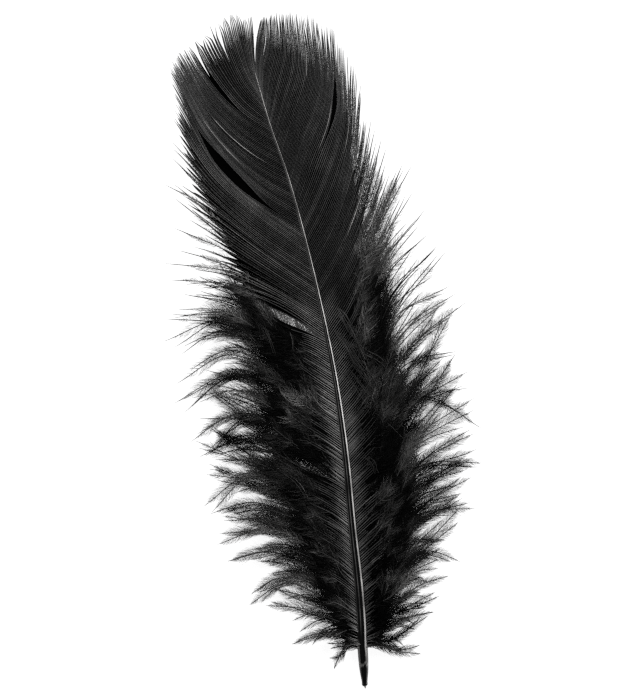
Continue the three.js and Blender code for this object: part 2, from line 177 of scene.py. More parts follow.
# Barbs that lie loose on top, painted light as painted highlights, as four points and a height.
LEFT_STRAYS = np.array([
    [-6.2, 65.6, -5.8, 63.6, -5.4, 61.6, -5.2, 59.8, 6.4],
    [-2.1, 63.8, -2, 62.6, -2.1, 61.4, -2.4, 60.2, 6.2],
    [-0.6, 51.4, -2.8, 53.2, -4.6, 55.4, -5.6, 58.4, 6.2],
    [-2.4, 50.6, -4.2, 52, -5.4, 54, -5.9, 56.4, 6],
    [-4.4, 35.4, -5, 37.2, -6, 38.8, -7.6, 40.2, 5.8],
])
RIGHT_STRAYS = np.array([
    [6.8, 66.3, 8.2, 63.2, 9.6, 59.6, 11, 51, 6.3],
    [7.2, 59.8, 8.6, 57, 9.9, 53.8, 10.8, 50.3, 6.3],
    [7.2, 58.3, 8.2, 56.4, 9.3, 54, 10.3, 51.4, 6.4],
    [8, 60.5, 9.8, 58.8, 11.6, 57, 13.5, 54.5, 6],
    [8.5, 49.7, 10.6, 47.6, 12.6, 45.2, 14.5, 42.2, 5.6],
    [7.2, 40.7, 7.8, 39.6, 8.3, 38.4, 8.7, 37, 5.8],
    [6.5, 66, 7.2, 64.4, 8, 62.8, 9, 61, 6.4],
    [6, 63, 7.4, 60.4, 8.6, 57.8, 10.4, 54, 6.3],
    [6.4, 56, 7.6, 53.6, 8.8, 51.4, 10.6, 48, 6.2],
])
STRAY_COPIES = {"left": (2, 0.12), "right": (5, 0.4)}  # copies of each, and their spread

# How a side's barbs change from the down at the quill to the closed vane at the tip, each as rows
# of [height up the shaft, value].
CLOSED_SHARE = {  # share of a barb's length that is closed with its neighbours
    "left": [
        [7, 0.15], [20, 0.2], [60, 0.2], [62, 0.42], [70, 0.68], [75, 0.82], [80, 0.88], [95, 0.9],
        [110, 0.88],
    ],
    "right": [
        [7, 0.15], [20, 0.18], [58, 0.2], [62, 0.3], [68, 0.44], [75, 0.66], [82, 0.82], [95, 0.88],
        [110, 0.88],
    ],
}
WEB_SHARE = {  # share of a barb's length that has a closed surface to the next
    "left": [
        [7, 0.42], [20, 0.5], [60, 0.5], [66, 0.6], [70, 0.72], [74, 0.83], [78, 0.93], [86, 0.93],
        [92, 0.83], [110, 0.73],
    ],
    "right": [
        [7, 0.42], [20, 0.5], [66, 0.5], [72, 0.58], [80, 0.71], [88, 0.77], [96, 0.76], [110, 0.73],
    ],
}
LEAVING_ANGLE = {  # degrees that a barb stands up from the plan's x where it leaves the shaft
    "left": [[7, 5], [9, 35], [13, 50], [20, 52], [35, 47], [50, 43], [62, 43]],
    "right": [[7, 0], [9, 18], [13, 29], [20, 32], [35, 36], [50, 40], [62, 42]],
}
# Distance up the shaft from one barb to the next.
BARB_PITCH = [[7, 0.4], [15, 0.44], [60, 0.46], [75, 0.42], [102, 0.38], [108, 0.26]]
# Share by which the tips of a bundle close up to its leader.
BUNDLE_PULL = [[7, 0], [58, 0], [70, 0.25], [80, 0.35], [90, 0.5], [110, 0.55]]
# From 1 for barbs that stray freely towards 0 for barbs that lie in order.
LOOSENESS = [[7, 0.8], [30, 1], [52, 1], [64, 0.5], [78, 0.08], [110, 0.03]]
FREE_BARBULE = {  # length of a free barbule
    "left": [
        [7, 1.8], [15, 2.2], [55, 2.4], [61, 1.8], [66, 1.2], [74, 0.7], [82, 0.45], [90, 0.35],
        [110, 0.25],
    ],
    "right": [[7, 1.8], [15, 2.2], [55, 2.4], [64, 1.8], [70, 1], [76, 0.45], [84, 0.3], [110, 0.25]],
}
SHORT_BY = {  # share of its way by which most barbs end short of the few that reach furthest
    "left": [[57, 0], [62, 0.16], [66, 0.2], [71, 0.17], [76, 0.07], [80, 0.02], [86, 0]],
    "right": [[57, 0], [63, 0.18], [70, 0.12], [76, 0.06], [84, 0.05], [92, 0.05], [98, 0]],
}
FAR_SHARE = {"left": 0.28, "right": 0.5}  # share of the barbs that reach furthest
# Length at the tip of a barb without barbules.
BARE_TIP = [[7, 0.4], [30, 1.2], [45, 2.2], [60, 3.2], [85, 2.5], [95, 0.6], [110, 0.4]]
VANE_PAINTED_SHEEN = {  # how much lighter and glossier the barbs of the vane are: real gloss with painted sheen
    "left": [[62, 0.52], [76, 0.5], [88, 0.34], [96, 0.32], [102, 0.4], [110, 0.4]],
    "right": [[62, 0.05], [66, 0.19], [80, 0.22], [110, 0.26]],
}
# Barbs that stand proud, raised and glossier with a painted highlight along them: height up the
# shaft, shares where the painted highlight starts and ends.
RIDGES = {
    "left": [[91.5, 0.12, 0.62], [86.6, 0.3, 0.7]],
    "right": [[84.9, 0.3, 0.62], [78.7, 0.48, 0.72], [70.5, 0.35, 0.75], [94.5, 0.55, 0.85]],
}
VANE_ROOT = 62  # barbs that leave the shaft above this belong to the vane's pieces
LOWER_ROOT = 34  # and those below this to the lower down
VANE_BARBULE = 0.36  # length of a barbule where the barbs are closed
# How far the web stands out from a barb beside a slit.
FLANGE = [[60, 0.06], [74, 0.07], [80, 0.13], [88, 0.22], [110, 0.26]]
WEDGE_HAIRS = 700  # hairs across an open split of the down
HAIR_WIDTH = 0.04
FIRST_ROOT, LAST_ROOT = 7.2, 108.4  # heights up the shaft of the first and the last barb
CHANGE = (57, 63)  # heights up the shaft between which the down turns into the vane
STRAIGHT_END = (66, 58)  # and between which barbs stop leaving the shaft straight
BAND_END = (72, 58)  # and between which the painted highlight and gloss of the bare stretch beside the shaft end
FLAT_ROOT = 112  # height up the shaft by which barbs lie flat on the floor
DEEP_DOWN = 70  # open splits below this height have hairs across them
STEPS = 40  # points along a barb
EVEN = np.linspace(0, 1, STEPS)  # and the shares of its way where they are
SIGNS = {"left": -1, "right": 1}


# ---- curves


def read_rows(rows, at):
    """Straight interpolation of rows of [place, value] at the places `at`."""
    table = np.asarray(rows, float)
    return np.interp(at, table[:, 0], table[:, 1])


def cubic(part, span, low, high, low_slope, high_slope):
    """The cubic from low to high, at shares `part` of a span, that has the given slopes there."""
    return (
        (2 * part**3 - 3 * part**2 + 1) * low
        + (part**3 - 2 * part**2 + part) * span * low_slope
        + (3 * part**2 - 2 * part**3) * high
        + (part**3 - part**2) * span * high_slope
    )


def smooth_rows(knots, values, at):
    """Cubic interpolation: between two knots the curve takes the slope that the values have around
    each knot, so it is smooth through all of them."""
    slopes = np.gradient(values, knots, axis=0)
    low = np.clip(np.searchsorted(knots, at) - 1, 0, len(knots) - 2)
    span = knots[low + 1] - knots[low]
    part = ((at - knots[low]) / span)[:, None]
    return cubic(part, span[:, None], values[low], values[low + 1], slopes[low], slopes[low + 1])


def ease(low, high, at):
    """0 below low, 1 above high, and the smooth step 3p^2 - 2p^3 of the share p between them."""
    part = np.clip((at - low) / (high - low), 0, 1)
    return part * part * (3 - 2 * part)


def shaft_at(y):
    """x, y, height and width of the shaft at the plan heights y."""
    return smooth_rows(SHAFT[:, 1], SHAFT, y)


def curve_through(points, share):
    """The smooth curve through four points, (n, 4, 2), at shares of its way, (n, steps). Each
    point's parameter is the share of the chords' length up to it. Its slope is that of the chord
    from the point before to the point after, or of the one chord at an end, and the curve between
    two points is the cubic with those slopes."""
    chords = np.linalg.norm(np.diff(points, axis=1), axis=2)
    knots = np.concatenate([np.zeros((len(points), 1)), np.cumsum(chords, axis=1)], axis=1)
    knots /= knots[:, -1:]
    spans = np.diff(knots, axis=1)[..., None]
    slopes = np.diff(points, axis=1) / spans
    inner = slopes[:, :-1] * spans[:, 1:] + slopes[:, 1:] * spans[:, :-1]
    inner /= spans[:, 1:] + spans[:, :-1]
    slopes = np.concatenate([slopes[:, :1], inner, slopes[:, -1:]], axis=1)
    rows = np.arange(len(points))[:, None]
    low = rows, (share[..., None] >= knots[:, None, 1:3]).sum(axis=2)
    high = rows, low[1] + 1
    span = spans[low]
    part = (share - knots[low])[..., None] / span
    return cubic(part, span, points[low], points[high], slopes[low], slopes[high])


def plan_length(curves):
    return np.linalg.norm(np.diff(curves, axis=1), axis=2).sum(axis=1)


def unit(vectors):
    return vectors / np.maximum(np.linalg.norm(vectors, axis=-1, keepdims=True), 1e-9)


def directions(curves):
    """Unit vectors along curves, (n, steps, 3), from the difference of the points around each."""
    return unit(np.gradient(curves, axis=1))


def with_height(plan, height):
    return np.concatenate([plan, height[..., None]], axis=2)


def level_normal(along):
    """The level vectors to the left of the vectors `along`."""
    return np.stack([-along[..., 1], along[..., 0], np.zeros(along.shape[:-1])], axis=-1)


def points_along(curves, rows, share):
    """Points of the curves `rows` at shares of their steps."""
    place = share * (STEPS - 1)
    step = np.minimum(place.astype(int), STEPS - 2)
    part = (place - step)[..., None]
    return curves[rows, step] * (1 - part) + curves[rows, step + 1] * part


def barb_roots():
    """Heights up the shaft where barbs leave it, each a pitch above the last."""
    roots = [FIRST_ROOT]
    while roots[-1] < LAST_ROOT:
        roots.append(roots[-1] + float(read_rows(BARB_PITCH, roots[-1])))
    return np.array(roots)


def guide_points(guides, roots):
    """The four points of each barb: its root on the shaft, and the guiding barbs' points carried
    smoothly up the shaft to it."""
    start = shaft_at(roots)[:, None, :2]
    rest = smooth_rows(guides[:, 0], guides[:, 1:], roots).reshape(-1, 3, 2)
    return np.concatenate([start, rest], axis=1)


def gather(count, low, high):
    """Numbers `count` barbs in bundles of low to high barbs: for each barb its bundle, and the barb
    in the bundle's middle that leads it."""
    sizes = random.integers(low, high + 1, count)
    ends = np.cumsum(sizes)
    bundle = np.searchsorted(ends, np.arange(count), side="right")
    middle = np.minimum(ends - sizes // 2 - 1, count - 1)
    return bundle, middle[bundle]


def leave_shaft(side, roots, plan):
    """Carries the start of the barbs of the lower half off the shaft straight, at their angle, and
    lets them ease into their own curve."""
    sign = SIGNS[side]
    length = plan_length(plan)[:, None]
    travelled = EVEN * length
    angle = np.radians(read_rows(LEAVING_ANGLE[side], roots))
    away = np.stack([sign * np.cos(angle), np.sin(angle)], axis=1)
    straight = plan[:, :1] + travelled[..., None] * away[:, None, :]
    near = np.minimum(2.5, 0.1 * length)
    far = np.minimum(9.0, 0.4 * length)
    keep = (1 - ease(near, far, travelled)) * ease(*STRAIGHT_END, roots)[:, None]
    return plan * (1 - keep[..., None]) + straight * keep[..., None]


def side_barbs(side, guides, singles, splits, strands):
    """All barbs of a side as curves in plan and height, (barbs, steps, 3), with the values that
    their barbules and webs need."""
    sign = SIGNS[side]
    roots = barb_roots()
    count = len(roots)
    bundle, leader = gather(count, 1, 4)
    loose = read_rows(LOOSENESS, roots)

    # How far along its way a barb reaches.
    bundle_short = random.random(count)[bundle] ** 1.3 * (0.2 * loose + 0.02)
    own_short = random.random(count) ** 1.4 * (0.24 * loose + 0.03)
    most = random.random(count) > FAR_SHARE[side]
    short = read_rows(SHORT_BY[side], roots) * random.uniform(0.6, 1.1, count) * most
    reach = 1.06 + 0.02 * loose - bundle_short - own_short - short
    share = EVEN * reach[:, None]
    plan = curve_through(guide_points(guides, roots), share)
    plan = leave_shaft(side, roots, plan)
    length = plan_length(plan)
    travelled = EVEN * length[:, None]

    # Past its bend a loose barb strays to one side by its own angle, and waves and curls a little.
    tipward = sign * level_normal(directions(with_height(plan, np.zeros(share.shape))))[..., :2]
    angle = random.normal(0, 2.5, count)[bundle] + random.normal(0, 8.0, count)
    angle = angle * loose + random.normal(0, 0.4, count)
    held = read_rows(WEB_SHARE[side], roots) - 0.04
    bend = (0.35 + (held - 0.35) * ease(*CHANGE, roots))[:, None]
    past = np.maximum(travelled - bend * length[:, None], 0)
    stray = np.tan(np.radians(angle))[:, None] * past * ease(bend - 0.05, bend + 0.25, EVEN)
    freedom = ease(bend - 0.15, 1.0, EVEN)
    waves = random.uniform(0.5, 1.4, count)[bundle][:, None]
    phase = random.uniform(0, 2 * np.pi, count)[bundle][:, None]
    wave = np.sin(2 * np.pi * waves * EVEN + phase) - np.sin(phase)
    size = random.uniform(0.05, 0.35, count)[bundle][:, None] * loose[:, None]
    curl = (random.normal(-0.3, 0.5, count)[bundle] + random.normal(0, 0.9, count)) * loose
    sideways = stray + wave * size * freedom + curl[:, None] * EVEN**4
    plan = plan + tipward * sideways[..., None]

    # The barbs of a bundle close up towards its leader past the closed part.
    closed = read_rows(CLOSED_SHARE[side], roots)
    start = np.maximum(closed, 0.4)[:, None]
    join = read_rows(BUNDLE_PULL, roots)[:, None] * ease(start, 1.0, EVEN)
    plan = plan + (plan[leader] - plan) * join[..., None]

    # Height: from the shaft down to the tip, with a bulge, and layers in the down.
    shaft = shaft_at(roots)
    root_height = shaft[:, 2] + 0.12 * shaft[:, 3]
    bundle_random = random.random((count, 2))[bundle]
    own_random = random.random((count, 2))
    tip_height = 0.3 + loose * (2.0 * bundle_random[:, 0] + 0.8 * own_random[:, 0])
    tip_height = tip_height * ease(FLAT_ROOT, 100, roots) + 0.06
    bulge = 0.35 + loose * (1.7 * bundle_random[:, 1] + 0.6 * own_random[:, 1] - 0.3)
    bulge = bulge * ease(FLAT_ROOT, 98, roots) * np.minimum(length / 16.0, 1.0)
    sag = 1.5 - 1.05 * ease(97, 101, roots)
    fall = EVEN ** sag[:, None]
    height = root_height[:, None] * (1 - fall) + tip_height[:, None] * fall
    height = height + bulge[:, None] * np.sin(np.pi * EVEN) * ease(1.0, 8.0, travelled)

    # A split parts or overlaps the barbs above and below it, from a share of their length on.
    for split_root, split_start, split_end, gap, step, _ in splits:
        offset = roots - split_root
        near = np.exp(-np.abs(offset) / 1.6) * np.sign(offset)
        opened = ease(split_start, min(split_start + 0.3, 1.0), EVEN) * near[:, None]
        opened = opened * ease(split_end + 0.25, split_end, EVEN)
        plan = plan + tipward * (gap / 2 * opened)[..., None]
        height = height + step / 2 * opened

    tone = 0.5 * random.random(count)[bundle] + 0.5 * random.random(count)
    more_roots, more_curves = free_barbs(side, singles, SINGLE_BARBS, [0.2, 0.35, 0.7])
    strand_roots, strand_curves = free_barbs(side, strands, STRAND_BARBS, [0.35, 0.7, 1.5])
    more = len(more_roots) + len(strand_roots)
    curves = np.concatenate([with_height(plan, height), more_curves, strand_curves])
    curves[..., 2] = np.maximum(curves[..., 2], TABLE_CLEARANCE + 0.05)
    closed = closed * random.uniform(0.85, 1.03, count) / reach
    web_share = read_rows(WEB_SHARE[side], roots) * random.uniform(0.88, 1.06, count) / reach
    web_share = np.minimum(web_share, 0.94)
    closed = np.minimum(closed, web_share - 0.04 * (roots > VANE_ROOT))
    sparse = np.zeros(count)  # share of a barb along which few barbules stand, beside a wedge
    for split_root, _, split_end, _, _, is_open in splits:
        if is_open and split_root < DEEP_DOWN:
            sparse[np.abs(roots - split_root) < 1.2] = split_end + 0.1

    def with_more(values, fill):
        return np.concatenate([values, np.full(more, fill)])

    return {
        "side": side,
        "lone": np.arange(count + more) >= count,
        "roots": np.concatenate([roots, more_roots, strand_roots]),
        "curves": curves,
        "length": plan_length(curves),
        "closed": with_more(closed, 0.12),
        "web": with_more(web_share, 0),
        "reach": with_more(reach, 1),
        "loose": with_more(loose, 1),
        "sparse": with_more(sparse, 0),
        "splits": splits,
        "tone": np.concatenate([tone, random.random(more)]),
    }


def free_barbs(side, rows, copies, spread):
    """Barbs that lie over the rest: each row's curve a number of times, with the roots a little
    apart, and the other three points strayed by their spread."""
    rows = np.repeat(rows, copies, axis=0)
    count = len(rows)
    roots = rows[:, 0] + random.uniform(-0.8, 0.8, count)
    shaft = shaft_at(roots)
    points = np.concatenate([shaft[:, None, :2], rows[:, 1:].reshape(-1, 3, 2)], axis=1)
    points[:, 1:] += random.normal(0, 1, (count, 3, 2)) * np.array(spread)[None, :, None]
    share = EVEN * random.uniform(0.9, 1.0, count)[:, None]
    plan = leave_shaft(side, roots, curve_through(points, share))
    tip = random.uniform(0.2, 2.6, count)[:, None]
    arch = random.uniform(0.2, 2.0, count)[:, None]
    height = (shaft[:, 2:3] + 0.1) * (1 - EVEN) + tip * EVEN + arch * np.sin(np.pi * EVEN)
    return roots, with_height(plan, height)


# Splits between barbs: height up the shaft, shares of the barb where it opens and where it has
# begun to close, width of the gap (negative where the upper barbs lie over the lower ones), step in
# height, and whether the gap is open or has the web sunk under it. Under a groove the web is kept
# as a dark sheet painted black, the groove's painted shade.
LEFT_SPLITS = [
    [102.8, 0.62, 2, 0.55, 0.2, True],
    [97.5, 0.7, 2, 0.3, 0.15, True],
    [99.2, 0.25, 2, 0.6, 0.5, False],
    [91.4, 0.15, 2, -0.15, 0.25, False],
    [81.7, 0.12, 0.5, 1.7, 0.6, False],
    [61.4, 0, 0.36, 0.8, 0.3, True],
    [35.2, 0.05, 0.4, 1.9, 0.4, True],
]
RIGHT_SPLITS = [
    [106.3, 0.45, 2, 0.06, 0.1, True],
    [101.2, 0.78, 2, 0.15, 0.1, True],
    [87.6, 0.8, 2, 0.3, 0.1, True],
    [84.4, 0.36, 0.58, 1, 0.5, False],
    [78.4, 0.35, 2, -0.2, 0.3, False],
    [70.2, 0.3, 2, -0.2, 0.4, False],
]


# ---- meshes


class Soup:
    """Vertices, triangles, a tone for each vertex and a finish for each triangle, gathered from
    several shapes."""

    def __init__(self):
        self.points, self.triangles, self.tones, self.finishes = [], [], [], []
        self.count = 0

    def add(self, points, triangles, tones, finish=0):
        points = points.reshape(-1, 3)
        self.points.append(points)
        self.triangles.append(triangles.reshape(-1, 3) + self.count)
        self.tones.append(np.broadcast_to(tones, (len(points),)))
        self.finishes.append(np.broadcast_to(finish, (triangles.size // 3,)).astype(np.int32))
        self.count += len(points)

    def piece(self, name, materials):
        points = np.concatenate(self.points)
        points[:, 2] = np.maximum(points[:, 2], TABLE_CLEARANCE)
        rest = [np.concatenate(parts) for parts in (self.triangles, self.tones, self.finishes)]
        make_piece(name, points, *rest, materials)


def add_object(name, data):
    thing = bpy.data.objects.new(name, data)
    bpy.context.scene.collection.objects.link(thing)
    return thing


def make_piece(name, points, triangles, tones, finishes, materials):
    """A mesh object at the origin, from plan points in millimetres. Points that no triangle uses
    are left out."""
    used = np.zeros(len(points), bool)
    used[triangles] = True
    triangles = (np.cumsum(used) - 1)[triangles]
    mesh = bpy.data.meshes.new(name)
    places = ((points[used] - PLAN_CENTRE) * MM).astype(np.float32)
    mesh.vertices.add(len(places))
    mesh.vertices.foreach_set("co", places.ravel())
    mesh.loops.add(triangles.size)
    mesh.loops.foreach_set("vertex_index", triangles.astype(np.int32).ravel())
    mesh.polygons.add(len(triangles))
    mesh.polygons.foreach_set("loop_start", np.arange(0, triangles.size, 3, dtype=np.int32))
    mesh.polygons.foreach_set("use_smooth", np.ones(len(triangles), bool))
    mesh.polygons.foreach_set("material_index", finishes)
    # The tone attribute holds each point's own tone together with painted light and shade.
    tone = mesh.attributes.new("tone", "FLOAT", "POINT")
    tone.data.foreach_set("value", tones[used].astype(np.float32))
    mesh.update()
    mesh.validate()
    for material in materials:
        mesh.materials.append(material)
    piece = add_object(name, mesh)
    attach(piece, "root")
    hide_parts("feather")


def sweep(curves, radii, outline):
    """Closed outlines carried along curves: at each point the outline's rows of (across, up) times
    the radius there, along the level direction across the curve and the direction square to both.
    Returns points (n, steps, sides, 3) and their triangles."""
    count, steps = curves.shape[:2]
    sides = len(outline)
    along = directions(curves)
    across = unit(-level_normal(along))
    upright = np.cross(across, along)
    outline = np.asarray(outline, float)
    ring = across[:, :, None] * outline[:, :1] + upright[:, :, None] * outline[:, 1:]
    points = curves[:, :, None, :] + ring * radii[:, :, None, None]
    numbers = np.arange(count * steps * sides).reshape(count, steps, sides)
    a = numbers[:, :-1]
    b = np.roll(a, -1, axis=2)
    c = numbers[:, 1:]
    d = np.roll(c, -1, axis=2)
    halves = [np.stack(corners, axis=-1).reshape(-1, 3) for corners in ((a, d, b), (a, c, d))]
    return points, np.concatenate(halves)


def local_factors(points):
    """Share of the barbules that stay, and the painted light and shade on their tone (painted shade
    in the dark creases of the down, painted sheen on its tufts), at points of the plan: from 1
    towards a place's own values by the bell exp(-(d / reach)^2) of the distance d to its stretch."""
    stay = np.ones(len(points))
    light = np.ones(len(points))
    for x0, y0, x1, y1, reach, place_stay, place_painted_light in PLACES:
        near = (np.abs(points[:, 1] - (y0 + y1) / 2) < abs(y1 - y0) / 2 + 2 * reach).nonzero()[0]
        start = np.array([x0, y0])
        run = np.array([x1 - x0, y1 - y0])
        offset = points[near] - start
        part = np.clip(offset @ run / (run @ run), 0, 1)
        distance = np.linalg.norm(offset - part[:, None] * run, axis=1)
        bell = np.exp(-((distance / reach) ** 2))
        stay[near] *= 1 + bell * (place_stay - 1)
        light[near] *= 1 + bell * (place_painted_light - 1)
    return stay, light


BARB_OUTLINE = [(0.0, 1.2), (0.87, -0.6), (-0.87, -0.6)]  # a ridge on top, clockwise from the tip
BAND_WIDTH = {  # where the painted highlight and gloss of a barb's bare stretch beside the shaft fade out, by height up the shaft
    "left": [[7, 0.8], [25, 1.6], [45, 2.6], [70, 3.4]],
    "right": [[7, 0.2], [20, 0.5], [30, 1.2], [45, 2.2], [70, 3.0]],
}
# Places of the down that are thicker or thinner than the rest, and places painted darker (painted
# shade in its dark creases) or lighter (painted sheen on its tufts): the ends and reach of a
# stretch in the plan, the share of the barbules that stay there, and the painted light and shade
# there.
PLACES = np.array([
    [-3, 55.5, -3.4, 64.5, 2.4, 1, 0.02], [-15, 89, -7, 74, 2.2, 0.4, 3],
    [-6.5, 51, -1.5, 41.5, 1.2, 1, 0.05], [-8.4, 57.5, -6, 50.5, 1, 1, 0.03],
    [-8, 67, -5.5, 59, 0.9, 1, 0.1], [-6.4, 37, -5, 33, 1.4, 1, 0.05],
    [-9.2, 48, -7, 50, 0.9, 1, 0.1], [-0.8, 10.5, -4, 17, 0.8, 1, 0.1],
    [-4, 17, -3.6, 21.5, 0.8, 1, 0.1], [-3.6, 21.5, -6.2, 32, 0.9, 1, 0.1],
    [12.6, 56, 13.2, 69, 1.5, 1, 0.03], [9.5, 42, 14.5, 44, 1.2, 1, 0.05],
    [8.6, 38.5, 11.4, 41, 1.1, 1, 0.1], [12.2, 29, 11, 36, 1.4, 1, 0.05],
    [4.4, 10, 5, 15.5, 1.3, 1, 0.05], [5, 20, 8.6, 20.6, 1, 1, 0.05],
    [8, 13, 10.6, 12, 0.7, 1, 0.1], [9.5, 23, 10.4, 29, 1.2, 1, 0.1],
    [-13.5, 56, -9.5, 53, 1.2, 0.3, 1.2], [-7.5, 43.2, -3, 40, 0.8, 0.25, 1.2],
    [-18.5, 45, -9, 43.6, 1, 0.3, 1.2], [-20, 57, -15.5, 56.6, 0.9, 0.3, 1.5],
    [-17, 40.8, -13, 41.4, 0.7, 0.5, 1.5], [-16.5, 33.2, -12.5, 34.6, 0.8, 0.5, 1.5],
    [-13.5, 25.5, -9.5, 27, 0.8, 0.6, 1.5], [-10, 16, -7, 14, 0.8, 0.6, 1.5],
    [11.6, 50.3, 15.4, 54.2, 0.9, 0.15, 1.2], [15.4, 54.2, 17.6, 53.6, 0.9, 0.2, 1.2],
    [16.6, 60, 20.8, 80, 3.6, 0.12, 1.2], [19.5, 66, 24, 78, 2, 0.4, 1.2],
    [-22, 60, -14.5, 74, 3, 0.22, 1.2], [15, 38.8, 20, 40.4, 0.9, 0.3, 1.2],
    [15.8, 47.4, 19.5, 48.6, 0.7, 0.5, 1.5], [12.2, 34.6, 16, 36, 0.7, 0.45, 1.2],
    [19.5, 57, 23, 59, 1, 0.4, 1.5], [14, 25.8, 17.5, 27.4, 0.9, 0.3, 1.2],
    [9, 13.2, 12, 14.6, 0.6, 0.5, 2.5], [5.2, 22.4, 9, 23.6, 0.4, 1, 3],
    [7, 17.6, 10.4, 19.2, 0.5, 1, 3], [7.4, 28, 9, 26, 0.6, 1, 2.8],
    [6.4, 32.6, 9.4, 34.4, 0.6, 0.8, 3], [11.5, 43.6, 14.2, 42.4, 0.4, 1, 2.6],
    [8.6, 49.8, 12, 46.4, 0.8, 1, 2.2], [-4.8, 44.6, -4.2, 49, 0.4, 1, 3.2],
    [-3.4, 53, 0.2, 51, 0.7, 1, 2.2],
])
BAND_FADE = 2.6  # length over which the painted highlight and gloss of the bare stretch fade out
BARE_PAINTED_HIGHLIGHT = {"left": 0.66, "right": 0.32}  # painted highlight, with real gloss, on the bare stretch
DOWN_LIGHT = {"left": 0.5, "right": 0.4}  # and how light and glossy the barbs of the down are
MOST_PAINTED_LIGHT = 2.5  # limit for a place's painted light and shade on a barb
DULL_TONE = 0.14  # below this a barb has the barbules' finish


def barb_tubes(soup, barbs, pick, radii, finish):
    """Three-sided tubes with a ridge on top. Their radius goes through `radii` on the way to the
    tip, and their tone is highest on the bare stretch beside the shaft and along the ridges, where
    it is real gloss with a painted highlight; in the down a place's painted light and shade scale it."""
    side = barbs["side"]
    roots = barbs["roots"][pick]
    curves = barbs["curves"][pick].copy()
    near = (read_rows(BAND_WIDTH[side], roots) + random.normal(0, 0.35, len(roots)))[:, None]
    travelled = EVEN * barbs["length"][pick][:, None]
    radius = np.broadcast_to(np.interp(EVEN, [0, 0.2, 0.7, 0.93, 1.0], radii), travelled.shape)
    # The bare stretch beside the shaft is made glossier and painted lighter: real gloss with a
    # painted highlight.
    bare = (1 - ease(0, 1, (travelled - near) / BAND_FADE)) * ease(*BAND_END, roots)[:, None]
    own_tone = barbs["tone"][pick][:, None]
    if finish == VANE_BARB:
        # The vane's barbs are painted lighter and made glossier by side and height: painted sheen,
        # with real gloss.
        light = read_rows(VANE_PAINTED_SHEEN[side], roots)[:, None]
        tones = light * (0.1 + 1.7 * own_tone) + 0.7 * bare
    else:
        # A place's painted light and shade scale the tone of the down's barbs, up to a limit.
        light = local_factors(curves[..., :2].reshape(-1, 2))[1].reshape(travelled.shape)
        tones = own_tone * DOWN_LIGHT[side] + BARE_PAINTED_HIGHLIGHT[side] * bare
        tones = tones * np.minimum(light, MOST_PAINTED_LIGHT)
    for ridge_root, start, end in RIDGES[side]:
        offset = np.abs(roots - ridge_root)[:, None]
        proud = (offset == offset.min()) & (offset < 0.5)
        swell = ease(start, start + 0.1, EVEN) * ease(end, end - 0.1, EVEN) * proud
        curves[..., 2] += 0.1 * swell
        radius = radius * (1 + 0.2 * swell)
        # Along a ridge the tone rises: real gloss with a painted highlight.
        tones = tones + 0.9 * swell
    sides = len(BARB_OUTLINE)
    finishes = finish
    if finish == BARB:  # away from the shaft the barbs of the down are as dull as their barbules
        dull = np.maximum(tones[:, 1:], tones[:, :-1]) < DULL_TONE
        finishes = np.tile(np.repeat(np.where(dull, BARBULE, BARB).ravel(), sides), 2)
    soup.add(*sweep(curves, radius, BARB_OUTLINE), np.repeat(tones.ravel(), sides), finishes)


def strays(soup, rows, copies, spread):
    """Thin tubes painted light as painted highlights, a few beside each other for each row of four
    points and a height.
    """
    rows = np.repeat(rows, copies, axis=0)
    count = len(rows)
    points = rows[:, :8].reshape(-1, 4, 2) + random.normal(0, spread, (count, 1, 2))
    points[:, 1:] += random.normal(0, spread / 2, (count, 3, 2))
    share = EVEN * random.uniform(0.6, 1.0, count)[:, None]
    height = rows[:, 8:9] + random.uniform(-0.5, 0.2, count)[:, None] + 0.4 * np.sin(np.pi * share)
    curves = with_height(curve_through(points, share), height)
    radius = np.interp(share, [0, 0.3, 1.0], [0.03, 0.065, 0.02])
    # Their tone is a painted highlight.
    tones = np.repeat(random.uniform(0.4, 1.3, count), STEPS * len(BARB_OUTLINE))
    soup.add(*sweep(curves, radius, BARB_OUTLINE), tones, BARBULE)


